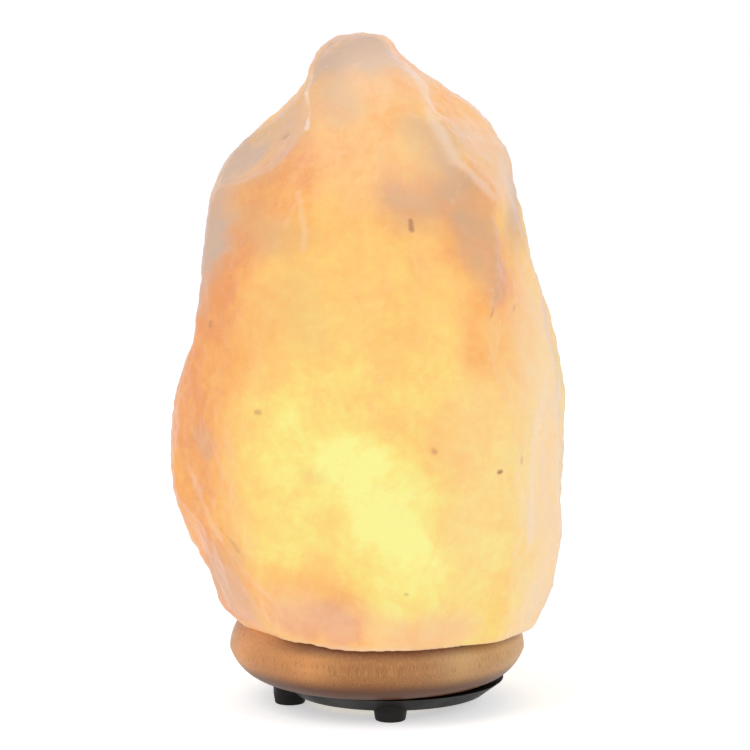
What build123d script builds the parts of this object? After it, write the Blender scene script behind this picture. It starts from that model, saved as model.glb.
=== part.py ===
"""Salt crystal lamp: a natural rock salt crystal with a drilled bulb cavity, screwed to a turned wooden base
that stands on a black moulded plate and four rubber feet. A small screw bulb sits in a lampholder whose two
spring clips grip the wall of the bore, so that bulb and holder push in and pull out from below.

Millimetres, +Z up. The origin is on the axis of the bore, in the plane on which the feet stand, and -Y is the
lamp's front.
"""

import os
from math import cos, radians, sin, sqrt, tan

from build123d import *

# ---------------------------------------------------------------- driving dimensions
# Clearances
slip_gap = 0.05  # radial gap round a screw, plug or pin
joint_gap = 0.08  # radial gap of the screwed bulb cap in its shell
seat_gap = 0.3  # gap where a curved or sprung piece meets its seat

# Solids are placed by the middle of their lower end
up_from = (Align.CENTER, Align.CENTER, Align.MIN)

# Rubber feet and the screws that hold feet and plate to the wood
foot_count = 4
foot_ring_d = 66.0
foot_turn = 8.5  # degrees that the ring of feet is turned from the lamp's front
foot_d = 12.4
foot_height = 4.0
foot_draft = 9.0  # degrees of taper on the foot's side
foot_edge = 0.7
foot_web = 1.6  # rubber left between the screw's head and the plate
foot_screw_d = 3.5
foot_screw_head_d = 6.2
foot_screw_head_h = 1.9
foot_screw_length = 13.0
foot_counterbore_d = 6.9

# Black moulded plate under the wood
plate_shift = 4.7  # the plate sits this far to the right of the wood's axis
plate_top_d = 85.6
plate_bottom_d = 71.6
plate_thickness = 5.3
plate_wall = 2.0
plate_hole_d = 48.0
plate_collar_wall = 2.0
plate_boss_d = 12.4
plate_rib_count = 12
plate_rib_wall = 1.5

# Turned wooden base
base_d = 110.4
base_thickness = 22.5
base_bottom_inset = 14.2  # how far the edge of the underside is set in from the widest line
base_top_inset = 3.7
base_belly_rise = 12.0  # height of the widest line above the wood's underside
base_lower_bulge = 2.6  # how far each rounded edge stands out of its chord
base_upper_bulge = 0.9
bore_d = 46.0
bore_edge = 0.8

# Cable passage through the back of the wood, with its bush
cable_hole_d = 9.0
cable_hole_rise = 12.2  # height of its axis above the wood's underside
bush_bore_d = 6.5
bush_sleeve_length = 12.0
bush_flange_d = 12.0
bush_flange_h = 2.2
bush_recess_depth = 2.8  # depth of the flat recess, from the wood's widest line
bush_edge = 0.5

# Screws and plugs that hold the crystal on the wood
crystal_screw_ring_d = 68.0
crystal_screw_d = 4.0
crystal_screw_head_d = 8.0
countersink_angle = 90.0
crystal_screw_length = 36.0
plug_d = 6.4
plug_length = 18.0

# Crystal: one row for each level, as height above the wood, reach to the left, right, front and back, and the
# turn of its corners in degrees
crystal_levels = (
    (0.0, 53.6, 60.5, 53.5, 51.0, 0.0),
    (16.0, 64.0, 68.6, 60.8, 59.8, 2.0),
    (48.0, 73.8, 71.8, 64.4, 65.0, 0.0),
    (82.0, 73.4, 71.4, 64.6, 65.6, -3.0),
    (116.0, 68.4, 65.0, 61.0, 61.6, 2.0),
    (148.0, 65.6, 55.8, 55.0, 55.0, 8.0),
    (172.0, 56.8, 50.8, 47.5, 47.0, 10.0),
    (182.0, 47.0, 45.4, 42.6, 41.4, 8.0),
    (190.0, 37.4, 37.6, 38.0, 36.4, 6.0),
    (199.0, 28.0, 24.6, 31.5, 29.4, 2.0),
    (208.0, 24.0, 11.8, 23.0, 21.0, -2.0),
    (214.0, 19.2, 6.4, 15.5, 14.4, -6.0),
    (217.6, 12.0, 2.4, 9.0, 8.0, -6.0),
)
# Corners of each level: turn from the front towards the right in degrees, and fullness
crystal_corners = (
    (8.0, 1.01),
    (44.0, 1.02),
    (74.0, 0.985),
    (106.0, 1.045),
    (140.0, 1.03),
    (170.0, 0.99),
    (-152.0, 1.02),
    (-108.0, 0.985),
    (-72.0, 1.045),
    (-38.0, 1.0),
)
crystal_corner_round = 0.3  # rounding of a corner, as a share of the level's least reach
cavity_depth = 98.0

# Fracture faces of the crystal, shallowly hollow, as if each was struck off by a large ball: the turn of the
# way it faces, in degrees from the front towards the right, its height above the wood, its lean upwards in
# degrees, how far it lies from the bore's axis, and the ball's radius
fracture_faces = (
    (62.0, 180.0, 38.0, 31.4, 240.0),  # right shoulder
    (-44.0, 150.0, 14.0, 54.0, 240.0),  # left front, high
    (-64.0, 34.0, -16.0, 65.0, 420.0),  # left front, low
    (110.0, 40.0, -8.0, 66.5, 350.0),  # right back, low
    (-140.0, 110.0, 6.0, 58.7, 300.0),  # back left, middle
    (172.0, 60.0, 0.0, 61.5, 350.0),  # back, low
    (140.0, 150.0, 18.0, 50.2, 250.0),  # back right, high
    (8.0, 206.0, 42.0, 15.3, 120.0),  # front of the knob
)
knob_notch = (-61.6, -8.0, 218.2)  # centre of the ball that hollows the shoulder on the knob's left
knob_notch_r = 40.0

# Hollows of the crystal, each struck by a ball: the turn and height of the place that it goes through, how
# deep that place lies under the skin, the turn and lean of the way that the hollow faces there, and the
# ball's radius
hollows = (
    (31.0, 166.0, 4.2, 8.0, 24.0, 52.0),  # beside the right ridge
    (60.0, 172.0, 2.6, 58.0, 33.0, 150.0),  # right shoulder, behind that ridge
    (52.0, 128.0, 2.0, 56.0, 2.0, 150.0),  # under the hollow
    (68.0, 60.0, 1.8, 60.0, 0.0, 300.0),  # right front, low
    (-48.0, 184.0, 3.4, -70.0, 34.0, 62.0),  # step between the front lobe and the left shoulder
)
# Flatter faces all over the rest, each a golden turn further round than the one under it
spread_count = 34
spread_low = 8.0
spread_high = 172.0
spread_depth = 1.7
spread_r = 190.0
golden_turn = 137.5

# Lampholder: a cap with a spigot, screwed into a skirt that clamps the insert
holder_rise = 20.7  # height of the holder's underside above the wood's underside
holder_d = 28.0
holder_wall = 2.0
holder_ledge = 1.4  # how far the skirt's inside steps in, over the insert
holder_cap_h = 15.0
holder_cap_bottom_d = 19.0
holder_floor = 2.0
holder_inlet_d = 6.8
spigot_h = 4.0
spigot_wall = 1.6
skirt_h = 35.0
skirt_mouth_d = 18.0
skirt_lip_h = 2.0
grip_count = 12
grip_d = 2.4
insert_h = 7.0

# Screw shell, contacts and terminals on the insert
shell_bore_d = 14.1
shell_wall = 0.5
shell_h = 21.0
shell_foot_bore_d = 10.4  # opening in the shell's foot, round the centre contact
contact_width = 3.6
contact_thickness = 0.5
contact_leg_x = 3.4  # where the centre contact's leg goes down through the insert
contact_lift = 1.6
shell_tag_x = 6.1  # where the shell's tag goes down through the insert
terminal_x = 5.4
terminal_width = 5.0
terminal_h = 5.4
terminal_chamfer = 0.5
terminal_wire_d = 2.2
terminal_wire_depth = 4.4
terminal_screw_d = 2.0
terminal_head_d = 3.8
terminal_head_h = 1.2

# Spring clips on the skirt's sides
clip_width = 9.0
clip_thickness = 0.6
clip_tab_rise = 32.0  # height of the tab's lower end above the holder's underside
clip_tab_h = 10.0
clip_drop = 17.0  # height from the tab's lower end down to the bend that grips the bore
clip_tail = 5.0  # height of the tail under that bend
clip_tail_run = 3.5  # how far the tail turns back inwards
clip_bend_r = 1.5
pocket_drop = 4.0  # how far the tab's pocket runs on below the tab
rivet_d = 2.6
rivet_head_d = 4.6
rivet_head_h = 0.7

# Screw bulb
bulb_d = 28.0
bulb_length = 56.0
bulb_waist_rise = 21.0  # height above the tip at which the straight neck ends
glass_wall = 0.7
bulb_cap_h = 17.0
bulb_cap_wall = 0.3
neck_depth = 12.0  # how far the glass neck reaches down into the cap
insulator_h = 2.6
tip_d = 4.4
tip_h = 1.1
stem_flare_h = 1.0
stem_foot_d = 8.0
stem_top_d = 4.4
stem_h = 15.0
pinch_width = 5.4
pinch_thickness = 2.2
pinch_h = 3.0
lead_d = 0.8
lead_start = 1.5  # distance from the bulb's axis at which a lead leaves the stem
lead_spread = 4.5  # distance from the axis at its upper end
lead_run = 1.5  # straight length at the lead's lower end
lead_slope_h = 4.0
lead_h = 11.0
lead_bend_r = 1.0
filament_d = 0.6

# ---------------------------------------------------------------- heights and radii that follow
plate_bottom_z = foot_height
wood_bottom_z = plate_bottom_z + plate_thickness
wood_top_z = wood_bottom_z + base_thickness
cable_z = wood_bottom_z + cable_hole_rise

holder_bottom_z = wood_bottom_z + holder_rise
seam_z = holder_bottom_z + holder_cap_h
insert_bottom_z = seam_z + spigot_h
insert_top_z = insert_bottom_z + insert_h
skirt_top_z = seam_z + skirt_h
skirt_inner_r = holder_d / 2 - holder_wall
skirt_upper_r = skirt_inner_r - holder_ledge
contact_top_z = insert_top_z + contact_lift + contact_thickness

tip_bottom_z = contact_top_z + slip_gap
tip_top_z = tip_bottom_z + tip_h
insulator_top_z = tip_top_z + insulator_h
bulb_cap_r = shell_bore_d / 2 - joint_gap
bulb_cap_inner_r = bulb_cap_r - bulb_cap_wall
bulb_cap_top_z = insulator_top_z + bulb_cap_h
neck_bottom_z = bulb_cap_top_z - neck_depth
bulb_top_z = tip_bottom_z + bulb_length


foot_pitch = 360 / foot_count


def ring_spots(ring_d, turn):
    """The X and Y of each spot on a ring, from turn degrees past the front, one foot's pitch apart."""
    turns = [radians(turn + foot_pitch * i) for i in range(foot_count)]
    return [(ring_d / 2 * sin(a), -ring_d / 2 * cos(a)) for a in turns]


def facing_side(side, reach, height):
    """The upright plane at reach on the left (side -1) or right (side 1), facing outwards."""
    return Plane(origin=(side * reach, 0, height), x_dir=(0, 1, 0), z_dir=(side, 0, 0))


def facing_back(reach, height):
    """The upright plane at reach behind the bore's axis, facing the lamp's back."""
    return Plane(origin=(0, reach, height), x_dir=(1, 0, 0), z_dir=(0, 1, 0))


foot_spots = ring_spots(foot_ring_d, foot_turn)
crystal_screw_spots = ring_spots(crystal_screw_ring_d, foot_turn + foot_pitch / 2)

# ---------------------------------------------------------------- feet, their screws and the plate
feet = []
for name, (x, y) in zip(("foot_front", "foot_right", "foot_rear", "foot_left"), foot_spots):
    with BuildPart() as foot:
        with BuildSketch(Plane(origin=(x, y, foot_height))):
            Circle(foot_d / 2)
        extrude(amount=-foot_height, taper=foot_draft)
        fillet(foot.faces().sort_by(Axis.Z)[0].edges(), foot_edge)
        with Locations(Plane(origin=(x, y, 0), z_dir=(0, 0, -1))):
            CounterBoreHole(foot_screw_d / 2 + slip_gap, foot_counterbore_d / 2, foot_height - foot_web)
    foot.part.label = name
    feet.append(foot)

foot_head_top_z = foot_height - foot_web
foot_screw_top_z = foot_head_top_z + foot_screw_length
with BuildPart() as foot_screws:
    for x, y in foot_spots:
        with Locations((x, y, foot_head_top_z)):
            Cylinder(foot_screw_d / 2, foot_screw_length, align=up_from)
        with Locations((x, y, foot_head_top_z - foot_screw_head_h)):
            Cylinder(foot_screw_head_d / 2, foot_screw_head_h, align=up_from)
foot_screws.part.label = "foot_screws"

# The plate is a shallow moulding: a floor with a sloped rim, and pockets in its top between the collar round
# the bore, the ribs and a boss for each foot. The rim's inset is its wall measured level, across the slope.
rim_run = (plate_top_d - plate_bottom_d) / 2
rim_inset = plate_wall * sqrt(rim_run**2 + plate_thickness**2) / plate_thickness
floor_top_z = plate_bottom_z + plate_wall
floor_r = plate_bottom_d / 2 + rim_run * plate_wall / plate_thickness - rim_inset
collar_r = plate_hole_d / 2 + plate_collar_wall
rib_pitch = 360 / plate_rib_count
with BuildPart() as plate_pockets:
    for level, radius in ((floor_top_z, floor_r), (wood_bottom_z, plate_top_d / 2 - rim_inset)):
        with BuildSketch(Plane(origin=(plate_shift, 0, level))):
            Circle(radius)
    loft()
    with BuildSketch(Plane.XY.offset(floor_top_z)):
        Circle(collar_r)
        with Locations(*foot_spots):
            Circle(plate_boss_d / 2)
        with PolarLocations(0, plate_rib_count, rib_pitch / 2):
            with Locations((plate_top_d / 2, 0)):
                Rectangle(plate_top_d, plate_rib_wall)
    extrude(amount=plate_thickness - plate_wall, mode=Mode.SUBTRACT)

with BuildPart() as base_plate:
    for level, diameter in ((plate_bottom_z, plate_bottom_d), (wood_bottom_z, plate_top_d)):
        with BuildSketch(Plane(origin=(plate_shift, 0, level))):
            Circle(diameter / 2)
    loft()
    with BuildSketch(Plane.XY.offset(plate_bottom_z)):
        with Locations(*foot_spots):
            Circle(plate_boss_d / 2)
    extrude(amount=plate_thickness)
    add(plate_pockets.part, mode=Mode.SUBTRACT)
    with BuildSketch(Plane.XY.offset(plate_bottom_z)):
        Circle(plate_hole_d / 2)
        with Locations(*foot_spots):
            Circle(foot_screw_d / 2 + slip_gap)
    extrude(amount=plate_thickness, mode=Mode.SUBTRACT)
base_plate.part.label = "base_plate"

# ---------------------------------------------------------------- wooden base
belly_z = wood_bottom_z + base_belly_rise
bush_seat_y = base_d / 2 - bush_recess_depth


def bulged(start, end, bulge):
    """The point that stands out of the middle of the chord from start to end by bulge, away from the axis."""
    run, rise = end[0] - start[0], end[1] - start[1]
    length = sqrt(run**2 + rise**2)
    return ((start[0] + end[0]) / 2 + rise / length * bulge, (start[1] + end[1]) / 2 - run / length * bulge)


with BuildPart() as wooden_base:
    low, belly, high = (
        (base_d / 2 - base_bottom_inset, wood_bottom_z),
        (base_d / 2, belly_z),
        (base_d / 2 - base_top_inset, wood_top_z),
    )
    with BuildSketch(Plane.XZ):
        with BuildLine():
            Polyline((0, wood_top_z), (0, wood_bottom_z), low)
            ThreePointArc(low, bulged(low, belly, base_lower_bulge), belly)
            ThreePointArc(belly, bulged(belly, high, base_upper_bulge), high)
            Line(high, (0, wood_top_z))
        make_face()
    revolve(axis=Axis.Z)
    with Locations((0, 0, wood_bottom_z)):
        Cylinder(bore_d / 2, base_thickness, align=up_from, mode=Mode.SUBTRACT)
    lower_circles = wooden_base.edges().filter_by(GeomType.CIRCLE).group_by(Axis.Z)[0]
    chamfer(lower_circles.sort_by(SortBy.RADIUS)[0], bore_edge)
    for reach, radius in ((0, cable_hole_d / 2), (bush_seat_y, bush_flange_d / 2 + seat_gap)):
        with BuildSketch(facing_back(reach, cable_z)):
            Circle(radius)
        extrude(amount=base_d / 2, mode=Mode.SUBTRACT)
    for x, y in crystal_screw_spots:
        with Locations(Plane(origin=(x, y, wood_bottom_z), z_dir=(0, 0, -1))):
            CounterSinkHole(
                crystal_screw_d / 2 + slip_gap,
                crystal_screw_head_d / 2 + slip_gap,
                base_thickness,
                countersink_angle,
            )
    with BuildSketch(Plane.XY.offset(wood_bottom_z)):
        with Locations(*foot_spots):
            Circle(foot_screw_d / 2 + slip_gap)
    extrude(amount=foot_screw_top_z + seat_gap - wood_bottom_z, mode=Mode.SUBTRACT)
wooden_base.part.label = "wooden_base"

with BuildPart() as cable_bush:
    with BuildSketch(facing_back(bush_seat_y, cable_z)):
        Circle(bush_flange_d / 2)
    extrude(amount=bush_flange_h)
    chamfer(cable_bush.faces().sort_by(Axis.Y)[-1].edges(), bush_edge)
    with BuildSketch(facing_back(bush_seat_y, cable_z)):
        Circle(cable_hole_d / 2 - slip_gap)
    extrude(amount=-bush_sleeve_length)
    with BuildSketch(facing_back(bush_seat_y - bush_sleeve_length, cable_z)):
        Circle(bush_bore_d / 2)
    extrude(amount=bush_sleeve_length + bush_flange_h, mode=Mode.SUBTRACT)
cable_bush.part.label = "cable_bush"

# ---------------------------------------------------------------- screws and plugs between wood and crystal
crystal_screw_head_h = (crystal_screw_head_d - crystal_screw_d) / 2 / tan(radians(countersink_angle / 2))
with BuildPart() as crystal_screws:
    for x, y in crystal_screw_spots:
        with Locations((x, y, wood_bottom_z)):
            Cylinder(crystal_screw_d / 2, crystal_screw_length, align=up_from)
            Cone(crystal_screw_head_d / 2, crystal_screw_d / 2, crystal_screw_head_h, align=up_from)
crystal_screws.part.label = "crystal_screws"

plug_bore_depth = crystal_screw_length - base_thickness + seat_gap
with BuildPart() as wall_plugs:
    for x, y in crystal_screw_spots:
        with Locations((x, y, wood_top_z)):
            Cylinder(plug_d / 2, plug_length, align=up_from)
            Cylinder(crystal_screw_d / 2 + slip_gap, plug_bore_depth, align=up_from, mode=Mode.SUBTRACT)
wall_plugs.part.label = "wall_plugs"

# ---------------------------------------------------------------- salt crystal
def facing(turn, lean):
    """The unit vector that faces turn degrees from the front towards the right and leans upwards."""
    level = cos(radians(lean))
    return Vector(level * sin(radians(turn)), -level * cos(radians(turn)), sin(radians(lean)))


def crystal_outline(left, right, front, back, twist):
    """The corners of one level, on the ellipse with the four reaches and each drawn out by its fullness."""
    centre = Vector((right - left) / 2, (back - front) / 2)
    half_x, half_y = (right + left) / 2, (back + front) / 2
    corners = []
    for turn, fullness in crystal_corners:
        way = facing(turn + twist, 0) * fullness
        corners.append(centre + Vector(half_x * way.X, half_y * way.Y))
    return corners


def skin_hit(stone, turn, rise):
    """The spot on the stone's skin at this turn and height, and the way that the skin faces there."""
    way = facing(turn, 0)
    hits = stone.find_intersection_points(Axis(Vector(0, 0, wood_top_z + rise), way))
    return max(hits, key=lambda hit: hit[0].dot(way))


def ball_centre(stone, turn, rise, depth, facing_turn, facing_lean, radius):
    """The centre of the ball that strikes this hollow."""
    spot, normal = skin_hit(stone, turn, rise)
    return spot - normal * depth + facing(facing_turn, facing_lean) * radius


def square_ball_centre(stone, turn, rise, depth, radius):
    """The centre of the ball that strikes a face of this depth, square to the stone's skin."""
    spot, normal = skin_hit(stone, turn, rise)
    return spot + normal * (radius - depth)


def spread_faces():
    """The flatter faces, on a spiral up the crystal."""
    pitch = (spread_high - spread_low) / (spread_count - 1)
    return [(golden_turn * i, spread_low + pitch * i, spread_depth, spread_r) for i in range(spread_count)]


with BuildPart() as salt_crystal:
    for rise, left, right, front, back, twist in crystal_levels:
        with BuildSketch(Plane.XY.offset(wood_top_z + rise)) as level:
            with BuildLine():
                Polyline(*crystal_outline(left, right, front, back, twist), close=True)
            make_face()
            fillet(level.vertices(), crystal_corner_round * min(left + right, front + back) / 2)
    loft()
    balls = [(ball_centre(salt_crystal.part, *hollow), hollow[-1]) for hollow in hollows]
    balls += [(square_ball_centre(salt_crystal.part, *face), face[-1]) for face in spread_faces()]
    for turn, rise, lean, reach, radius in fracture_faces:
        with Locations(Vector(0, 0, wood_top_z + rise) + facing(turn, lean) * (reach + radius)):
            Sphere(radius, mode=Mode.SUBTRACT)
    with Locations(Vector(*knob_notch) + Vector(0, 0, wood_top_z)):
        Sphere(knob_notch_r, mode=Mode.SUBTRACT)
    for centre, radius in balls:
        with Locations(centre):
            Sphere(radius, mode=Mode.SUBTRACT)
    with Locations((0, 0, wood_top_z)):
        Cylinder(bore_d / 2, cavity_depth, align=up_from, mode=Mode.SUBTRACT)
    for x, y in crystal_screw_spots:
        with Locations((x, y, wood_top_z)):
            Cylinder(plug_d / 2 + slip_gap, plug_length + slip_gap, align=up_from, mode=Mode.SUBTRACT)
salt_crystal.part.label = "salt_crystal"

# ---------------------------------------------------------------- lampholder
cap_slope = (holder_d - holder_cap_bottom_d) / 2
grip_axis = Plane(
    origin=(holder_cap_bottom_d / 2, 0, holder_bottom_z), x_dir=(0, 1, 0), z_dir=(cap_slope, 0, holder_cap_h)
)
grip_run = 2 * holder_cap_h  # each grip groove is cut past both ends of the cap's side
with BuildPart() as holder_cap:
    with BuildSketch(Plane.XY.offset(holder_bottom_z)):
        Circle(holder_cap_bottom_d / 2)
    with BuildSketch(Plane.XY.offset(seam_z)):
        Circle(holder_d / 2)
    loft()
    with PolarLocations(0, grip_count):
        with Locations(grip_axis.location):
            Cylinder(grip_d / 2, grip_run, mode=Mode.SUBTRACT)
    with Locations((0, 0, seam_z)):
        Cylinder(skirt_inner_r - slip_gap, spigot_h, align=up_from)
    with BuildSketch(Plane.XY.offset(holder_bottom_z + holder_floor)):
        Circle(holder_cap_bottom_d / 2 - holder_wall)
    with BuildSketch(Plane.XY.offset(seam_z)):
        Circle(skirt_inner_r - spigot_wall)
    loft(mode=Mode.SUBTRACT)
    with Locations((0, 0, seam_z)):
        Cylinder(skirt_inner_r - spigot_wall, spigot_h, align=up_from, mode=Mode.SUBTRACT)
    with Locations((0, 0, holder_bottom_z)):
        Cylinder(holder_inlet_d / 2, holder_floor, align=up_from, mode=Mode.SUBTRACT)
holder_cap.part.label = "holder_cap"

# The skirt has a flat pocket on each side for a spring clip's tab, as deep as the flat tab needs to seat.
clip_seat_x = sqrt((holder_d / 2) ** 2 - (clip_width / 2) ** 2)
tab_bottom_z = holder_bottom_z + clip_tab_rise
tab_top_z = tab_bottom_z + clip_tab_h
rivet_z = tab_bottom_z + clip_tab_h / 2
pocket_bottom_z = tab_bottom_z - pocket_drop
pocket_top_z = tab_top_z + seat_gap
sides = (-1, 1)
with BuildPart() as holder_skirt:
    with BuildSketch(Plane.XZ):
        with BuildLine():
            Polyline(
                (skirt_inner_r, seam_z),
                (holder_d / 2, seam_z),
                (holder_d / 2, skirt_top_z),
                (skirt_mouth_d / 2, skirt_top_z),
                (skirt_mouth_d / 2, skirt_top_z - skirt_lip_h),
                (skirt_upper_r, skirt_top_z - skirt_lip_h),
                (skirt_upper_r, insert_top_z),
                (skirt_inner_r, insert_top_z),
                close=True,
            )
        make_face()
    revolve(axis=Axis.Z)
    fillet(holder_skirt.edges().group_by(Axis.Z)[-1].sort_by(SortBy.RADIUS)[-1], holder_wall / 2)
    for side in sides:
        with BuildSketch(facing_side(side, clip_seat_x, (pocket_bottom_z + pocket_top_z) / 2)):
            Rectangle(clip_width + 2 * seat_gap, pocket_top_z - pocket_bottom_z)
        extrude(amount=holder_wall, mode=Mode.SUBTRACT)
        with Locations(facing_side(side, clip_seat_x, rivet_z)):
            Hole(rivet_d / 2 + slip_gap, clip_seat_x)
holder_skirt.part.label = "holder_skirt"

with BuildPart() as holder_insert:
    with Locations((0, 0, insert_bottom_z)):
        Cylinder(skirt_inner_r - slip_gap, insert_h, align=up_from)
    with BuildSketch(Plane.XY.offset(insert_bottom_z)):
        for leg_x in (-contact_leg_x, shell_tag_x):
            with Locations((leg_x, 0)):
                Rectangle(contact_thickness + 2 * slip_gap, contact_width + 2 * slip_gap)
    extrude(amount=insert_h, mode=Mode.SUBTRACT)
holder_insert.part.label = "holder_insert"

with BuildPart() as screw_shell:
    with BuildSketch(Plane.XZ):
        with BuildLine():
            Polyline(
                (shell_foot_bore_d / 2, insert_top_z),
                (shell_bore_d / 2 + shell_wall, insert_top_z),
                (shell_bore_d / 2 + shell_wall, insert_top_z + shell_h),
                (shell_bore_d / 2, insert_top_z + shell_h),
                (shell_bore_d / 2, insert_top_z + shell_wall),
                (shell_foot_bore_d / 2, insert_top_z + shell_wall),
                close=True,
            )
        make_face()
    revolve(axis=Axis.Z)
    with Locations((shell_tag_x, 0, insert_bottom_z)):
        Box(contact_thickness, contact_width, insert_h + shell_wall, align=up_from)
screw_shell.part.label = "screw_shell"

with BuildPart() as centre_contact:
    with BuildSketch(Plane.XZ.offset(-contact_width / 2)):
        with BuildLine():
            Polyline(
                (-contact_leg_x + contact_thickness / 2, insert_bottom_z),
                (-contact_leg_x - contact_thickness / 2, insert_bottom_z),
                (-contact_leg_x - contact_thickness / 2, insert_top_z + contact_thickness),
                (-tip_d / 2, contact_top_z),
                (contact_leg_x, contact_top_z),
                (contact_leg_x, contact_top_z - contact_thickness),
                (-tip_d / 2 + contact_thickness / 2, contact_top_z - contact_thickness),
                (-contact_leg_x + contact_thickness / 2, insert_top_z + contact_thickness / 2),
                close=True,
            )
        make_face()
    extrude(amount=contact_width)
centre_contact.part.label = "centre_contact"

terminal_screw_z = insert_bottom_z - terminal_h + terminal_wire_depth / 2
terminals = []
for name, side in (("centre_terminal", -1), ("shell_terminal", 1)):
    with BuildPart() as terminal:
        with Locations((side * terminal_x, 0, insert_bottom_z - terminal_h)):
            Box(terminal_width, terminal_width, terminal_h, align=up_from)
        chamfer(terminal.edges().filter_by(Axis.Z), terminal_chamfer)
        with Locations((side * terminal_x, 0, insert_bottom_z - terminal_h)):
            Cylinder(terminal_wire_d / 2, terminal_wire_depth, align=up_from, mode=Mode.SUBTRACT)
        with Locations(facing_side(side, terminal_x, terminal_screw_z)):
            Cylinder(terminal_screw_d / 2 + slip_gap, terminal_width / 2, align=up_from, mode=Mode.SUBTRACT)
    terminal.part.label = name
    terminals.append(terminal)

with BuildPart() as terminal_screws:
    for side in sides:
        with Locations(facing_side(side, terminal_x + terminal_wire_d / 2, terminal_screw_z)):
            Cylinder(terminal_screw_d / 2, (terminal_width - terminal_wire_d) / 2, align=up_from)
        with Locations(facing_side(side, terminal_x + terminal_width / 2, terminal_screw_z)):
            Cylinder(terminal_head_d / 2, terminal_head_h, align=up_from)
terminal_screws.part.label = "terminal_screws"

# A clip is a strip bent outwards until its corners lie a seat gap from the bore, its tail turned back in.
clip_reach = sqrt((bore_d / 2 - seat_gap) ** 2 - (clip_width / 2) ** 2) - clip_thickness / 2
bend_z = tab_bottom_z - clip_drop
clips = []
for name, side in (("spring_clip_left", -1), ("spring_clip_right", 1)):
    with BuildPart() as clip:
        with BuildSketch(Plane.XZ.offset(-clip_width / 2)):
            with BuildLine():
                FilletPolyline(
                    (side * (clip_seat_x + clip_thickness / 2), tab_top_z),
                    (side * (clip_seat_x + clip_thickness / 2), tab_bottom_z),
                    (side * clip_reach, bend_z),
                    (side * (clip_reach - clip_tail_run), bend_z - clip_tail),
                    radius=clip_bend_r,
                )
                offset(amount=clip_thickness / 2, kind=Kind.INTERSECTION)
            make_face()
        extrude(amount=clip_width)
        with Locations(facing_side(side, clip_seat_x, rivet_z)):
            Cylinder(rivet_d / 2 + slip_gap, clip_thickness, align=up_from, mode=Mode.SUBTRACT)
    clip.part.label = name
    clips.append(clip)

with BuildPart() as clip_rivets:
    for side in sides:
        with Locations(facing_side(side, skirt_upper_r, rivet_z)):
            Cylinder(rivet_d / 2, clip_seat_x + clip_thickness - skirt_upper_r, align=up_from)
        with Locations(facing_side(side, clip_seat_x + clip_thickness, rivet_z)):
            Cylinder(rivet_head_d / 2, rivet_head_h, align=up_from)
clip_rivets.part.label = "clip_rivets"

# ---------------------------------------------------------------- bulb
with BuildPart() as cap_contact:
    with Locations((0, 0, tip_bottom_z)):
        Cylinder(tip_d / 2, tip_h, align=up_from)
    fillet(cap_contact.edges().group_by(Axis.Z)[0], tip_h / 2)
cap_contact.part.label = "cap_contact"

with BuildPart() as cap_insulator:
    with Locations((0, 0, tip_top_z)):
        Cone(tip_d / 2, bulb_cap_inner_r, insulator_h, align=up_from)
cap_insulator.part.label = "cap_insulator"

with BuildPart() as bulb_cap:
    with Locations((0, 0, insulator_top_z)):
        Cylinder(bulb_cap_r, bulb_cap_h, align=up_from)
        Cylinder(bulb_cap_inner_r, bulb_cap_h, align=up_from, mode=Mode.SUBTRACT)
bulb_cap.part.label = "bulb_cap"

# The glass is a pear: a straight neck in the cap, an S-shaped flare to the widest line and a half-ball top.
neck_r = bulb_cap_inner_r - slip_gap
waist_z = tip_bottom_z + bulb_waist_rise
shoulder_z = bulb_top_z - bulb_d / 2


def pear_face(inset):
    """Half of the bulb's outline in the XZ plane, set in from the outer surface."""
    inner, outer = neck_r - inset, bulb_d / 2 - inset
    with BuildSketch(Plane.XZ) as outline:
        with BuildLine():
            Polyline((0, shoulder_z + outer), (0, neck_bottom_z), (inner, neck_bottom_z), (inner, waist_z))
            middle = ((inner + outer) / 2, (waist_z + shoulder_z) / 2)
            flare = TangentArc((inner, waist_z), middle, tangent=(0, 1))
            TangentArc(flare @ 1, (outer, shoulder_z), tangent=flare % 1)
            CenterArc((0, shoulder_z), outer, 0, 90)
        make_face()
    return outline.sketch


with BuildPart() as bulb_glass:
    revolve(pear_face(0), axis=Axis.Z)
    revolve(pear_face(glass_wall), axis=Axis.Z, mode=Mode.SUBTRACT)
bulb_glass.part.label = "bulb_glass"

stem_top_z = neck_bottom_z + stem_h
pinch_top_z = stem_top_z + pinch_h
with BuildPart() as glass_stem:
    with Locations((0, 0, neck_bottom_z)):
        Cylinder(neck_r - glass_wall, stem_flare_h, align=up_from)
        Cone(stem_foot_d / 2, stem_top_d / 2, stem_h, align=up_from)
    with BuildSketch(Plane.XY.offset(stem_top_z)):
        Rectangle(pinch_width, pinch_thickness)
    extrude(amount=pinch_h)
glass_stem.part.label = "glass_stem"

with BuildPart() as lead_wires:
    for side in sides:
        with BuildLine(Plane.XZ) as lead_path:
            FilletPolyline(
                (side * lead_start, pinch_top_z),
                (side * lead_start, pinch_top_z + lead_run),
                (side * lead_spread, pinch_top_z + lead_run + lead_slope_h),
                (side * lead_spread, pinch_top_z + lead_h),
                radius=lead_bend_r,
            )
        with BuildSketch(Plane(origin=(side * lead_start, 0, pinch_top_z))):
            Circle(lead_d / 2)
        sweep(path=lead_path.line)
lead_wires.part.label = "lead_wires"

with BuildPart() as filament:
    with BuildSketch(Plane(origin=(lead_spread, 0, pinch_top_z + lead_h))):
        Circle(filament_d / 2)
    revolve(axis=Axis((0, 0, pinch_top_z + lead_h), (0, -1, 0)), revolution_arc=180)
filament.part.label = "filament"

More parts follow.
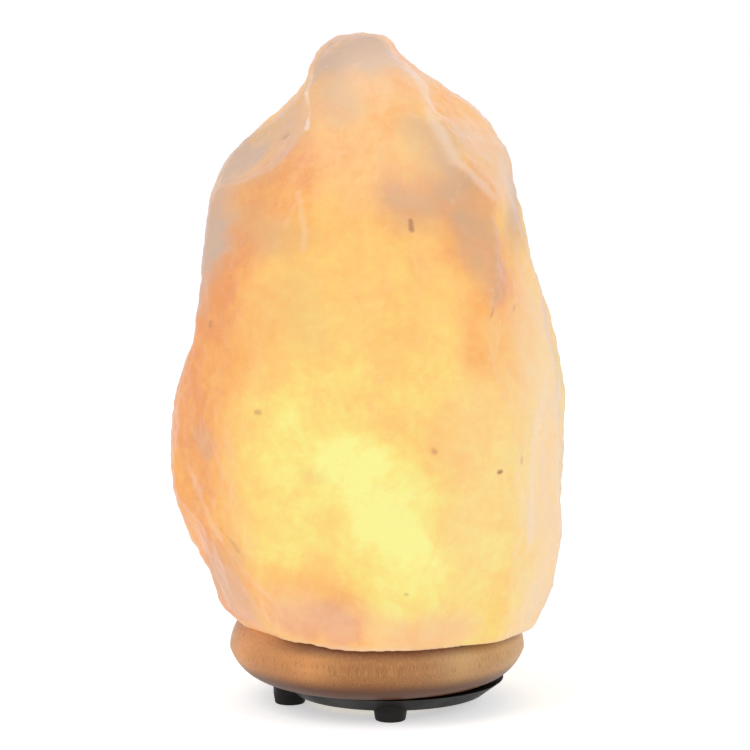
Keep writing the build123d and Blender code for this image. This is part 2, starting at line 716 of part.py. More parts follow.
# ---------------------------------------------------------------- export
os.makedirs("parts", exist_ok=True)
for piece in (
    *feet,
    foot_screws,
    base_plate,
    wooden_base,
    cable_bush,
    crystal_screws,
    wall_plugs,
    salt_crystal,
    holder_cap,
    holder_skirt,
    holder_insert,
    screw_shell,
    centre_contact,
    *terminals,
    terminal_screws,
    *clips,
    clip_rivets,
    cap_contact,
    cap_insulator,
    bulb_cap,
    bulb_glass,
    glass_stem,
    lead_wires,
    filament,
):
    export_step(piece.part, f"parts/{piece.part.label}.step")
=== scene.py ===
"""Looks of a salt crystal lamp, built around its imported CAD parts.

Operators carve the crystal, finish the base, plate, feet, screws, lampholder and bulb, and set up the stage.
Sizes are in metres, in the frame of the CAD parts: +Z up the bore, -Y the lamp's front.
"""

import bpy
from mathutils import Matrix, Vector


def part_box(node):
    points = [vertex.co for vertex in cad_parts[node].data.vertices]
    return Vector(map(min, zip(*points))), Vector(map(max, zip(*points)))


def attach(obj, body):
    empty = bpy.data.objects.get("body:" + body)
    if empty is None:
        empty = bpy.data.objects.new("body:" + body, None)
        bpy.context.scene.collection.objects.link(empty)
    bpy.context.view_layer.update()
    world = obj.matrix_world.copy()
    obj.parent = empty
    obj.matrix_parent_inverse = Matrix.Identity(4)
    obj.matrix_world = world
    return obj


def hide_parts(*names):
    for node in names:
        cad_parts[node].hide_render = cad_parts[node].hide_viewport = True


bl_info = {
    "name": "Salt Crystal Lamp",
    "version": (1, 0, 0),
    "blender": (4, 5, 0),
    "location": "View3D > Sidebar > Salt Lamp",
    "description": "Dresses the parts of a salt crystal lamp with carved surfaces and procedural finishes",
    "category": "Object",
}

from math import cos, pi, radians, sin

import bpy
import numpy as np
from bpy.props import FloatProperty, FloatVectorProperty, PointerProperty
from mathutils import Vector

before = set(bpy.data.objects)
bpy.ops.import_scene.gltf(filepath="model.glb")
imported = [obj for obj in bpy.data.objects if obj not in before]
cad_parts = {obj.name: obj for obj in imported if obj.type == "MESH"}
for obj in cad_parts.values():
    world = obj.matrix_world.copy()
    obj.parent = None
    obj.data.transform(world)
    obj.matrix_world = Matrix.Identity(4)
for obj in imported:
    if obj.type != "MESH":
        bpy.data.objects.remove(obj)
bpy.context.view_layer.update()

MM = 0.001
SMOOTH_ANGLE = radians(32)
MERGE_GAP = 0.002 * MM

# Heights of the CAD parts, and the sizes of the bore and of the rings that the screws stand on
WOOD_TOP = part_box("salt_crystal")[0].z
WOOD_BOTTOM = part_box("wooden_base")[0].z
BORE_RADIUS = 23.0 * MM
BORE_TOP = WOOD_TOP + 98.0 * MM
FOOT_RING = 33.0 * MM
CRYSTAL_SCREW_RING = 34.0 * MM
SCREWS_IN_RING = 4
FOOT_TURN = radians(8.5)
CRYSTAL_SCREW_TURN = FOOT_TURN + pi / SCREWS_IN_RING
CRYSTAL_MIDDLE = Vector((0, 0, 0.12))

# Threads: the wall stands further out than this, and the thread ends this far below the upper rim
SHELL_WALL = 6.9 * MM
SHELL_RIM = 0.6 * MM
SHELL_THREAD = 18.9 * MM  # how far down the shell's thread reaches
CAP_WALL = 6.0 * MM
CAP_RIM = 1.2 * MM
CAP_MOUTH = 1.0 * MM  # the cap's lower end, drawn in around the insulator
# Where the glass starts to widen and where it is full, from the cap's upper rim
NECK_START = -1.5 * MM
NECK_END = 0.6 * MM

# Finishes: sizes of the grain and of the patches and depth of the grain, in millimetres, and roughness
FINISHES = {
    "Black Plastic": (0.7, 20, 0.04, 0.5),
    "Foot Rubber": (0.5, 8, 0.05, 0.6),
    "Bush Plastic": (0.5, 6, 0.03, 0.4),
    "Grey Nylon": (0.6, 6, 0.04, 0.45),
    "Zinc Plate": (0.6, 3, 0.02, 0.36),
    "Terminal Screws": (0.6, 2, 0.02, 0.36),
    "Holder Plastic": (0.8, 12, 0.03, 0.28),
    "Unglazed Ceramic": (0.5, 6, 0.04, 0.6),
    "Contact Brass": (0.5, 5, 0.02, 0.3),
    "Spring Steel": (0.4, 6, 0.02, 0.3),
    "Nickelled Brass": (0.5, 6, 0.02, 0.28),
    "Solder": (0.6, 2, 0.06, 0.42),
    "Cap Glass": (0.8, 4, 0.03, 0.12),
    "Lead Wire": (0.4, 3, 0.01, 0.35),
}


# ---------------- settings
def colour(name, description, value):
    """A colour setting, in linear red, green, blue and alpha."""
    return FloatVectorProperty(
        name=name, description=description, subtype="COLOR", size=4, min=0, max=1, default=(*value, 1)
    )


def length(name, description, value):
    """A length setting, given in millimetres."""
    return FloatProperty(name=name, description=description, unit="LENGTH", default=value * MM, precision=5)


def place(name, description, value):
    """A place setting, in metres."""
    return FloatVectorProperty(
        name=name, description=description, subtype="XYZ", unit="LENGTH", default=value
    )


def share(name, description, value):
    """A share or strength setting."""
    return FloatProperty(name=name, description=description, subtype="FACTOR", min=0, max=4, default=value)


class CrystalSettings(bpy.types.PropertyGroup):
    """Relief and colours of the rock salt."""

    voxel: length("Mesh Size", "Size of the crystal's mesh cells", 1.23)
    skin: length("Sound Skin", "Distance over which the relief fades out towards the bore and the wood", 6.0)
    lump_size: length("Lump Size", "Width of the broad lumps", 42.0)
    lump_depth: length("Lump Depth", "Height of the broad lumps", 0.7)
    scoop_size: length("Scoop Size", "Width of the hollows that chips left", 19.0)
    scoop_depth: length("Scoop Depth", "Depth of the hollows that chips left", 0.7)
    nick_size: length("Nick Size", "Width of the nicks", 9.0)
    nick_depth: length("Nick Depth", "Depth of the nicks", 0.55)
    pit_size: length("Pit Size", "Width of the fine pits", 3.6)
    pit_depth: length("Pit Depth", "Depth of the fine pits", 0.4)
    left_bulge: length("Left Bulge", "How far the left flank swells", 0.6)
    lobe: length("Lobe", "How far the lobe low on the left flank stands out", 1.1)
    right_dip: length("Right Dip", "How far the right flank dips in at half height", 1.3)
    tuck: length("Tuck", "How far the lower edge is set in at the left", 2.6)
    overhang: length("Overhang", "Least distance of the lower edge from the bore's axis, in front", 55.4)
    lip: length("Lip", "How far the lower edge hangs down over the wood in front", 1.7)
    glow_height: length("Glow Height", "Height of the brightest place above the table", 88.0)
    glow_near: length("Glow Near", "Distance from the glow's middle at which it is full", 50.0)
    glow_far: length("Glow Far", "Distance from the glow's middle at which it has faded", 150.0)
    lit_share: share("Lit Share", "Share of the colour that comes from inside", 0.70)
    day_share: share("Day Share", "Share of the colour that comes from the light of the room", 0.34)
    sheen: share("Sheen", "Pale sheen where the salt turns away", 0.85)
    sheen_tint: colour("Sheen Tint", "Tint of the pale sheen", (1.0, 0.87, 0.95))
    # Stops of the painted glow, from the salt right in front of the bulb to the salt that little light
    # reaches
    hot: colour("Hot", "Salt right in front of the bulb", (0.96, 0.90, 0.28))
    yellow: colour("Yellow", "Salt near the bulb", (0.96, 0.755, 0.20))
    honey: colour("Honey", "Salt further from the bulb", (0.97, 0.615, 0.165))
    amber: colour("Amber", "Salt half way up", (0.96, 0.525, 0.145))
    orange: colour("Orange", "Salt high up", (0.945, 0.435, 0.11))
    ember: colour("Ember", "Salt that little light reaches", (0.84, 0.325, 0.095))
    # Also painted shade in the right hollow and under it
    cloud_and_shade: colour("Cloud", "Cloudy salt that stays dull", (0.66, 0.38, 0.20))
    # Also painted shade high up and a painted rim reflection along the left edge
    mist_shade_and_rim: colour("Mist", "Greyish salt", (0.62, 0.42, 0.30))
    # Also a painted pale reflection along the right flank
    milk_and_rim: colour("Milk", "Milky salt", (0.93, 0.66, 0.46))
    # Also painted highlight along ridges and convex edges
    frost_and_highlight: colour("Frost", "Pale broken edges", (0.93, 0.72, 0.56))
    speck: colour("Speck", "Clay specks", (0.40, 0.18, 0.08))


class WoodSettings(bpy.types.PropertyGroup):
    """Colours of the turned base."""

    light: colour("Light Wood", "Wood between the flecks", (0.74, 0.375, 0.135))
    # Also the colour of the painted shade under the salt's overhang and low in front
    dark_and_shade: colour("Dark Wood", "Growth rings", (0.40, 0.165, 0.06))
    fleck: colour("Fleck", "Short rays that stand across the grain", (0.30, 0.12, 0.04))
    # Painted warm light from the salt's glow, with a painted highlight, on the left
    red: colour("Red Wood", "Redder wood", (0.98, 0.43, 0.16))
    # Painted highlight on the right
    yellow: colour("Yellow Wood", "Yellower wood", (0.80, 0.52, 0.25))
    # Painted shade under the salt and next to the plate
    painted_edge_shade: colour("Painted Edge Shade", "Darkened edges next to the salt and the plate", (0.13, 0.045, 0.018))
    fleck_length: length("Fleck Length", "Length of the rays", 6.5)
    fleck_width: length("Fleck Width", "Width of the rays", 0.45)


class TrimSettings(bpy.types.PropertyGroup):
    """Colours of the plate, the feet, the lampholder and the bulb."""

    plate: colour("Plate", "Moulded plate", (0.007, 0.0055, 0.005))
    rubber: colour("Rubber", "Feet", (0.010, 0.009, 0.0085))
    bush: colour("Bush", "Cable bush", (0.022, 0.022, 0.022))
    nylon: colour("Nylon", "Wall plugs", (0.27, 0.27, 0.25))
    holder: colour("Holder", "Lampholder's cap and skirt", (0.030, 0.028, 0.027))
    ceramic: colour("Ceramic", "Lampholder's insert", (0.66, 0.63, 0.56))
    zinc: colour("Zinc", "Screws", (0.58, 0.58, 0.56))
    brass: colour("Brass", "Contacts", (0.72, 0.50, 0.22))
    spring: colour("Spring Steel", "Clips", (0.48, 0.48, 0.49))
    solder: colour("Solder", "Tip of the bulb's cap", (0.55, 0.55, 0.54))
    vitrite: colour("Cap Glass", "Black glass of the bulb's cap", (0.010, 0.008, 0.012))
    nickel: colour("Nickel", "Bulb's cap", (0.66, 0.62, 0.54))
    leads: colour("Leads", "Wires inside the bulb", (0.42, 0.34, 0.27))
    tungsten: colour("Tungsten", "Glowing filament", (1.0, 0.66, 0.28))


class ScrewSettings(bpy.types.PropertyGroup):
    """Rolled thread of the bulb's cap and its shell, and the crosses in the screws' heads."""

    pitch: length("Pitch", "Rise of the thread in one turn: the bulb's joints have 8.5 mm in 3", 8.5 / 3)
    thread_depth: length("Thread Depth", "Depth of the rolled thread", 0.6)
    slice: length("Slice", "Height of one row of faces in the thread", 0.22)
    neck_share: share("Neck Share", "Width of the glass inside the cap, as a share of the plain neck's", 0.9)
    insulator_share: share("Insulator Share", "The same for the insulator in the cap's mouth", 0.93)
    cross_length: length("Cross Length", "Length of the cross in a screw's head", 4.4)
    cross_width: length("Cross Width", "Width of the cross's arms", 1.0)
    cross_depth: length("Cross Depth", "Depth of the cross", 1.3)
    bottom_length: share("Bottom Length", "Length of the cross at its bottom, as a share of its length", 0.4)
    bottom_width: share("Bottom Width", "Width of the arms at the bottom, as a share of their width", 0.55)


class StageSettings(bpy.types.PropertyGroup):
    """Camera, lamps and floor."""

    camera_place: place("Camera", "Place of the camera", (-0.000753, -1.2, 0.27704))
    camera_pitch: FloatProperty(
        name="Pitch", description="How far the camera looks down", subtype="ANGLE", default=radians(7.3035)
    )
    camera_lens: FloatProperty(name="Lens", description="Focal length", unit="CAMERA", default=156.149)
    sensor_width: FloatProperty(name="Sensor", description="Sensor width", unit="CAMERA", default=36.0)
    floor_width: length("Floor Width", "Side of the square floor", 8000.0)
    floor: colour("Floor", "Pale floor", (0.92, 0.92, 0.92))
    lift: share("Floor Lift", "White that the floor adds to what the camera sees of it", 0.52)
    sky: share("Sky", "Strength of the even light from all round", 0.55)
    lamp_size: length("Lamp Size", "Side of each square lamp", 1000.0)
    key_place: place("Key Place", "Place of the main lamp", (-0.9, -1.0, 1.5))
    key_power: FloatProperty(name="Key", description="Power of the main lamp", unit="POWER", default=9.0)
    fill_place: place("Fill Place", "Place of the lamp on the right", (1.2, -0.7, 0.9))
    fill_power: FloatProperty(name="Fill", description="Power of the right lamp", unit="POWER", default=3.5)


class SaltLampSettings(bpy.types.PropertyGroup):
    """All settings of the lamp."""

    crystal: PointerProperty(type=CrystalSettings, name="Crystal", description="Rock salt")
    wood: PointerProperty(type=WoodSettings, name="Wood", description="Turned base")
    trim: PointerProperty(type=TrimSettings, name="Trim", description="Plate, feet, lampholder and bulb")
    screws: PointerProperty(type=ScrewSettings, name="Screws", description="Threads and screw heads")
    stage: PointerProperty(type=StageSettings, name="Stage", description="Camera, lamps and floor")


# ---------------- tools for meshes
def pick(piece):
    """Select only this piece and make it active."""
    bpy.ops.object.select_all(action="DESELECT")
    piece.select_set(True)
    bpy.context.view_layer.objects.active = piece


def copy_of_node(node, name):
    """A merged copy of a CAD part's mesh, free to be shaped."""
    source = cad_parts[node]
    piece = bpy.data.objects.new(name, source.data.copy())
    piece.data.name = name
    piece.data.materials.clear()
    bpy.context.scene.collection.objects.link(piece)
    pick(piece)
    bpy.ops.object.mode_set(mode="EDIT")
    bpy.ops.mesh.select_all(action="SELECT")
    bpy.ops.mesh.remove_doubles(threshold=MERGE_GAP)
    bpy.ops.mesh.normals_make_consistent(inside=False)
    bpy.ops.object.mode_set(mode="OBJECT")
    bpy.ops.mesh.customdata_custom_splitnormals_clear()
    return piece


def modify(piece, kind, **values):
    """Add a modifier with these values and apply it."""
    pick(piece)
    bpy.ops.object.modifier_add(type=kind)
    modifier = piece.modifiers[-1]
    for key, value in values.items():
        setattr(modifier, key, value)
    bpy.ops.object.modifier_apply(modifier=modifier.name)


def read_points(piece):
    """The piece's vertices as an array with one row each."""
    flat = np.empty(len(piece.data.vertices) * 3)
    piece.data.vertices.foreach_get("co", flat)
    return flat.reshape(-1, 3)


def write_points(piece, points):
    """Put the piece's vertices at these points."""
    piece.data.vertices.foreach_set("co", points.ravel())
    piece.data.update()


def fade(distance, start, end):
    """A smooth step from 0 at start to 1 at end."""
    t = np.clip((distance - start) / (end - start), 0, 1)
    return t * t * (3 - 2 * t)


def smooth(piece):
    """Shade the piece smooth, with its corners kept sharp."""
    pick(piece)
    bpy.ops.object.shade_smooth_by_angle(angle=SMOOTH_ANGLE)


def slice_across(piece, low, high, height):
    """Cut the piece's faces along level planes from low to high, this height apart."""
    pick(piece)
    bpy.ops.object.mode_set(mode="EDIT")
    for level in np.arange(low, high, height):
        bpy.ops.mesh.select_all(action="SELECT")
        bpy.ops.mesh.bisect(plane_co=(0, 0, level), plane_no=(0, 0, 1))
    bpy.ops.object.mode_set(mode="OBJECT")


def roll_thread(piece, settings, low, high, inner, mouth=None):
    """Roll a right-hand thread into the upright wall that stands further out than inner.

    It runs out at both ends. With a mouth, it goes on to the lower end instead, where a stretch of this
    height is drawn in to the thread's root.
    """
    slice_across(piece, low, high, settings.slice)
    points = read_points(piece)
    x, y, z = points.T
    radius = np.hypot(x, y)
    wave = (1 - np.cos(2 * pi * z / settings.pitch - np.arctan2(y, x))) / 2
    depth = wave * fade(z, high, high - settings.pitch / 2)
    if mouth:
        depth = np.maximum(depth, fade(z, low + mouth, low))
    else:
        depth *= fade(z, low, low + settings.pitch / 2)
    rolled = radius - settings.thread_depth * depth * (radius > inner)
    points[:, :2] *= (rolled / np.maximum(radius, 0.1 * MM))[:, None]
    write_points(piece, points)
    smooth(piece)


def narrow(piece, share_left, low, high):
    """Draw the piece in towards the bore's axis: to this share below low, not at all above high."""
    points = read_points(piece)
    points[:, :2] *= (share_left + (1 - share_left) * fade(points[:, 2], low, high))[:, None]
    write_points(piece, points)


def finish_piece(piece, body, slot, material, *nodes):
    """Give the piece its finish, its body and the CAD parts it stands for."""
    piece.data.materials.clear()
    piece.data.materials.append(material)
    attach(piece, body)
    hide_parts(*nodes)


def paint_nodes(material, *nodes):
    """Give CAD parts this finish."""
    for node in nodes:
        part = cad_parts[node]
        part.data.materials.clear()
        part.data.materials.append(material)
        for polygon in part.data.polygons:
            polygon.material_index = 0


# ---------------- tools for materials
def put(tree, kind, values=None, **settings):
    """Add a node. A value is set on its input, or linked where it is another node's output."""
    item = tree.nodes.new(kind)
    for key, value in settings.items():
        setattr(item, key, value)
    for key, value in (values or {}).items():
        if isinstance(value, bpy.types.NodeSocket):
            tree.links.new(value, item.inputs[key])
        else:
            item.inputs[key].default_value = value
    return item


def maths(tree, operation, first, second=0.0, clamp=False):
    """The result of a Math node."""
    item = put(tree, "ShaderNodeMath", {0: first, 1: second}, operation=operation, use_clamp=clamp)
    return item.outputs[0]


def vector_maths(tree, operation, first, second):
    """The result of a Vector Math node."""
    item = put(tree, "ShaderNodeVectorMath", {0: first, 1: second}, operation=operation)
    return item.outputs["Value" if operation in ("DISTANCE", "DOT_PRODUCT") else "Vector"]


def blend_colours(tree, factor, first, second, mode="MIX"):
    """The result of mixing two colours."""
    values = {0: factor, 6: first, 7: second}
    return put(tree, "ShaderNodeMix", values, data_type="RGBA", blend_type=mode).outputs[2]


def step(tree, value, low, high, to_low=0.0, to_high=1.0):
    """A smooth step of value from low to high. It stays in bounds without a clamp."""
    values = {"Value": value, "From Min": low, "From Max": high, "To Min": to_low, "To Max": to_high}
    item = put(tree, "ShaderNodeMapRange", values, interpolation_type="SMOOTHSTEP", clamp=False)
    return item.outputs["Result"]


def noise(tree, vector, size, detail=3.0, roughness=0.55, distortion=0.0):
    """Noise with features about size wide, from 0 to 1."""
    values = {"Scale": 1 / size, "Detail": detail, "Roughness": roughness, "Distortion": distortion}
    return put(tree, "ShaderNodeTexNoise", {"Vector": vector, **values}).outputs["Fac"]


def new_material(name, **constants):
    """A material with a Principled shader: the material, its tree and the shader."""
    material = bpy.data.materials.new(name)
    material.use_nodes = True
    tree = material.node_tree
    tree.nodes.clear()
    shader = put(tree, "ShaderNodeBsdfPrincipled")
    for key, value in constants.items():
        shader.inputs[key.replace("_", " ")].default_value = value
    put(tree, "ShaderNodeOutputMaterial", {"Surface": shader.outputs["BSDF"]})
    return material, tree, shader


def object_point(tree):
    """The place on the surface, in the lamp's own frame."""
    return put(tree, "ShaderNodeTexCoord").outputs["Object"]


def add_bump(tree, shader, height, depth, strength=1.0):
    """Raise the surface by height times depth."""
    bump = put(tree, "ShaderNodeBump", {"Height": height, "Distance": depth, "Strength": strength})
    tree.links.new(bump.outputs["Normal"], shader.inputs["Normal"])


def new_effect(name, inputs, outputs):
    """An empty shared effect: its node group, its input node and its output node."""
    group = bpy.data.node_groups.new(name, "ShaderNodeTree")
    for socket, kind in inputs.items():
        group.interface.new_socket(socket, in_out="INPUT", socket_type="NodeSocket" + kind)
    for socket in outputs:
        group.interface.new_socket(socket, in_out="OUTPUT", socket_type="NodeSocketFloat")
    return group, group.nodes.new("NodeGroupInput"), group.nodes.new("NodeGroupOutput")


def surface_grain_group():
    """Shared effect: fine uneven grain, as a height, and a broad patchiness, as a mask."""
    name = "Surface Grain"
    if name in bpy.data.node_groups:
        return bpy.data.node_groups[name]
    inputs = {"Vector": "Vector", "Grain Scale": "Float", "Patch Scale": "Float"}
    group, start, end = new_effect(name, inputs, ("Grain", "Patches"))
    for output, scale in (("Grain", "Grain Scale"), ("Patches", "Patch Scale")):
        values = {"Vector": start.outputs["Vector"], "Scale": start.outputs[scale], "Detail": 4}
        item = put(group, "ShaderNodeTexNoise", values)
        group.links.new(item.outputs["Fac"], end.inputs[output])
    return group


def streak_group():
    """Shared effect: a mask of the places near a straight line from one point to another."""
    name = "Streak"
    if name in bpy.data.node_groups:
        return bpy.data.node_groups[name]
    inputs = {"Vector": "Vector", "Start": "Vector", "End": "Vector", "Radius": "Float", "Amount": "Float"}
    group, start, end = new_effect(name, inputs, ("Mask",))
    run = vector_maths(group, "SUBTRACT", start.outputs["End"], start.outputs["Start"])
    away = vector_maths(group, "SUBTRACT", start.outputs["Vector"], start.outputs["Start"])
    covered = vector_maths(group, "DOT_PRODUCT", away, run)
    whole = vector_maths(group, "DOT_PRODUCT", run, run)
    along = maths(group, "DIVIDE", covered, whole)
    along = maths(group, "MAXIMUM", maths(group, "MINIMUM", along, 1.0), 0.0)
    reached = put(group, "ShaderNodeVectorMath", {0: run, 3: along}, operation="SCALE").outputs["Vector"]
    distance = vector_maths(group, "DISTANCE", away, reached)
    near = maths(group, "MULTIPLY", start.outputs["Radius"], 0.15)
    mask = step(group, distance, near, start.outputs["Radius"], start.outputs["Amount"], 0.0)
    group.links.new(mask, end.inputs["Mask"])
    return group


def grain(tree, grain_size, patch_size):
    """The shared grain effect placed in a material, with its own sizes."""
    values = {"Vector": object_point(tree), "Grain Scale": 1 / grain_size, "Patch Scale": 1 / patch_size}
    item = put(tree, "ShaderNodeGroup", values, node_tree=surface_grain_group())
    return item.outputs["Grain"], item.outputs["Patches"]


def dimmed(tone, left):
    """The colour with this share of its brightness left."""
    return tuple(channel * left for channel in tone[:3]) + (1,)


def plain_finish(name, tone, rough_change=0.12, **constants):
    """One of the finishes listed at the top, in one colour, with patchy tone and gloss and a fine grain."""
    grain_size, patch_size, depth, rough = FINISHES[name]
    material, tree, shader = new_material(name, **constants)
    grains, patches = grain(tree, grain_size * MM, patch_size * MM)
    darker = dimmed(tone, 0.75)
    tree.links.new(blend_colours(tree, patches, darker, tone), shader.inputs["Base Color"])
    roughness = step(tree, patches, 0.25, 0.75, rough - rough_change, rough + rough_change)
    tree.links.new(roughness, shader.inputs["Roughness"])
    add_bump(tree, shader, grains, depth * MM)
    return material


# ---------------- materials
# Marks in the salt. Each lies along a line: both of its ends and its radius in millimetres, and its strength.

# Painted glow: where the salt is painted to glow more or less than its distance from the bulb makes it; the
# rows that take glow away are painted shade
PAINTED_GLOW_MARKS = (
    ((-4, -62, 92), (2, -63, 82), 30, 0.24),  # right in front of the bulb
    ((6, -62, 70), (10, -63, 66), 26, 0.12),
    ((-30, -54, 104), (-22, -56, 106), 24, 0.08),
    ((18, -60, 62), (31, -54, 58), 24, 0.14),  # low on the right
    ((19, -60, 106), (27, -57, 80), 18, -0.13),
    ((-70, -20, 170), (-66, -20, 48), 38, -0.55),  # left flank
    ((-60, -36, 110), (-58, -36, 72), 20, -0.15),
    ((-54, -38, 162), (-46, -44, 144), 28, -0.24),
    ((-44, -34, 196), (-32, -38, 204), 26, -0.30),  # left shoulder
    ((-6, -54, 176), (4, -58, 138), 34, -0.08),
    ((10, -46, 191), (38, -36, 195), 20, -0.36),  # painted shade in the right hollow
    ((36, -40, 176), (44, -40, 164), 20, -0.40),  # painted shade under the hollow
    ((37, -50, 151), (37, -51, 139), 14, -0.22),
    ((51, -30, 170), (51, -36, 134), 18, -0.26),
    ((44, -50, 112), (44, -50, 72), 30, -0.04),
    ((-54, -30, 45), (-20, -50, 40), 26, -0.40),  # low on the left
    ((-14, -54, 47), (-10, -54, 44), 16, -0.16),
    ((-36, -50, 38), (26, -52, 37), 12, -0.26),  # lower edge
    ((-44, -36, 180), (-42, -38, 174), 14, -0.14),
    ((-31, -44, 192), (-28, -46, 186), 14, -0.10),
    ((22, -48, 168), (26, -48, 160), 14, -0.14),
    ((36, -48, 152), (38, -50, 135), 13, -0.14),
    ((-46, -46, 104), (-44, -46, 86), 16, -0.12),
    ((-6, 60, 104), (12, 60, 78), 30, 0.18),  # back
    ((-34, 46, 196), (10, 44, 186), 26, -0.26),
    ((-46, 44, 132), (-34, 52, 96), 24, -0.18),
    ((34, 50, 150), (40, 46, 122), 22, -0.16),
    ((-20, 56, 50), (30, 54, 44), 22, -0.26),
)
# Dull, cloudy salt, and painted shade in the right hollow and under it
CLOUD_AND_SHADE_MARKS = (
    ((-47, -33, 183), (-35, -45, 181), 14, 0.40),
    ((-34, -26, 213), (-42, -28, 204), 18, 0.55),
    # This row and the next two are painted shade in the right hollow and under it
    ((10, -47, 190), (38, -36, 194), 16, 0.70),
    ((20, -33, 220), (31, -37, 197), 9, 0.60),
    ((37, -39, 178), (44, -39, 166), 15, 0.70),
    ((50, -14, 192), (51, -18, 176), 14, 0.50),
    ((-56, -30, 56), (-52, -32, 46), 18, 0.45),
    ((-18, -51, 42), (-15, -52, 44), 10, 0.18),
    ((-66, -28, 104), (-62, -32, 101), 8, 0.50),
    ((-24, -56, 96), (-21, -57, 94), 7, 0.20),
    ((-30, -52, 158), (-24, -54, 148), 16, 0.15),
    ((0, 44, 188), (18, 40, 172), 13, 0.50),  # back
    ((-40, 46, 112), (-36, 50, 98), 11, 0.35),
    ((22, 54, 52), (30, 50, 46), 12, 0.40),
)
# Greyish salt, high up and along the left edge: partly greyish salt, partly painted shade high up and a
# painted rim reflection along the left edge
MIST_SHADE_AND_RIM_MARKS = (
    ((-16, -14, 245), (-6, -18, 245), 18, 0.95),
    ((0, -18, 245), (6, -16, 243), 14, 0.55),
    ((-22, -20, 232), (-14, -30, 226), 16, 0.45),
    ((-52, -10, 204), (-60, -22, 176), 18, 0.95),
    ((-34, -14, 220), (-44, -10, 212), 15, 0.65),
    ((30, -24, 214), (46, -10, 204), 18, 0.40),
    ((52, -8, 194), (54, -14, 182), 12, 0.45),
    ((-62, -26, 172), (-66, -18, 150), 12, 0.55),
    ((14, -34, 218), (26, -38, 202), 12, 0.40),
    ((-64, -24, 52), (-56, -28, 44), 12, 0.20),
    ((50, -10, 194), (48, -14, 188), 11, 0.40),
    ((-24, 28, 222), (-8, 26, 228), 14, 0.55),  # back
    ((-52, 34, 166), (-56, 28, 148), 12, 0.45),
    ((52, 32, 100), (54, 28, 84), 12, 0.30),
)
# Milky, paler salt, and a painted pale reflection along the right flank
MILK_AND_RIM_MARKS = (
    ((68, -20, 145), (66, -22, 48), 34, 0.62),  # right flank, a painted pale reflection
    ((38, -14, 214), (46, -14, 200), 22, 0.45),
    ((0, -24, 236), (6, -20, 236), 22, 0.38),
    ((-10, -38, 214), (4, -40, 206), 34, 0.22),
    ((-30, -48, 40), (30, -50, 38), 16, 0.35),
    ((-54, -30, 50), (-50, -32, 40), 16, 0.22),
    ((40, -52, 112), (40, -52, 70), 30, 0.20),
    ((44, 44, 176), (52, 38, 60), 24, 0.45),  # back
    ((-58, 36, 84), (-52, 42, 48), 20, 0.35),
    ((-10, 40, 222), (10, 38, 214), 20, 0.40),
)
# Pale lines along broken edges: partly the salt's own pale broken edges, partly painted highlight
RIDGE_AND_HIGHLIGHT_MARKS = (
    ((13, -12, 238), (20, -31, 220), 5.0, 0.50),
    ((20, -31, 220), (28, -35, 206), 4.0, 0.45),
    ((28, -35, 206), (42, -31, 192), 2.8, 0.40),
    ((-24, -12, 235), (-26, -17, 229), 1.6, 0.50),
    ((-26, -17, 229), (-25, -33, 217), 2.0, 0.75),
    ((-28, -45, 194), (-26, -47, 184), 1.8, 0.20),
    ((-26, -47, 184), (-26, -48, 175), 1.8, 0.25),
    ((64, -8, 142), (59, -31, 112), 3.0, 0.30),
    ((59, -31, 112), (56, -37, 68), 3.6, 0.45),
    ((-68, -24, 92), (-57, -37, 68), 2.4, 0.30),
    ((-64, -24, 132), (-63, -31, 110), 2.0, 0.35),
)
# Specks of clay and a short crack
SPECK_MARKS = (
    ((12, -49, 184.5), (12, -51, 181.5), 1.7, 0.80),
    ((44, -50, 95), (44.4, -50, 95), 1.3, 0.95),
    ((20, -60, 104), (20.8, -60, 103.6), 1.9, 0.50),
    ((35, -50, 43), (35.2, -50, 43), 1.0, 0.80),
    ((-43.6, -50, 116), (-42.4, -50, 116), 1.5, 0.45),
    ((42, -42, 153), (41, -43, 150), 1.4, 0.50),
    ((-60, -29, 146), (-60.4, -29, 145), 1.8, 0.50),
    ((49, -31, 152), (49, -31, 151), 1.4, 0.35),
    ((-32, -20, 213), (-36, -18, 212.6), 2.0, 0.45),
    ((53, -41, 98.5), (52.6, -41, 97), 1.4, 0.35),
    ((10, -60, 52), (10.2, -60, 52), 1.2, 0.40),
    ((-57, -36, 73), (-50, -42, 65), 1.6, 0.30),
)


def marks(tree, point, rows, join="ADD"):
    """The masks of the marks in these rows, joined by this operation."""
    total = None
    for first, last, radius, amount in rows:
        values = {"Vector": point, "Start": Vector(first) * MM, "End": Vector(last) * MM}
        values.update(Radius=radius * MM, Amount=amount)
        mask = put(tree, "ShaderNodeGroup", values, node_tree=streak_group()).outputs["Mask"]
        total = mask if total is None else maths(tree, join, total, mask)
    return total


def shifted(tree, point, size, reach):
    """The point moved by up to about reach, so that marks in the salt get uneven outlines."""
    wobble = put(tree, "ShaderNodeTexNoise", {"Vector": point, "Scale": 1 / size, "Detail": 3.0})
    shift = vector_maths(tree, "SUBTRACT", wobble.outputs["Color"], (0.5, 0.5, 0.5))
    shift = put(tree, "ShaderNodeVectorMath", {0: shift, 3: 2 * reach}, operation="SCALE").outputs["Vector"]
    return vector_maths(tree, "ADD", point, shift)


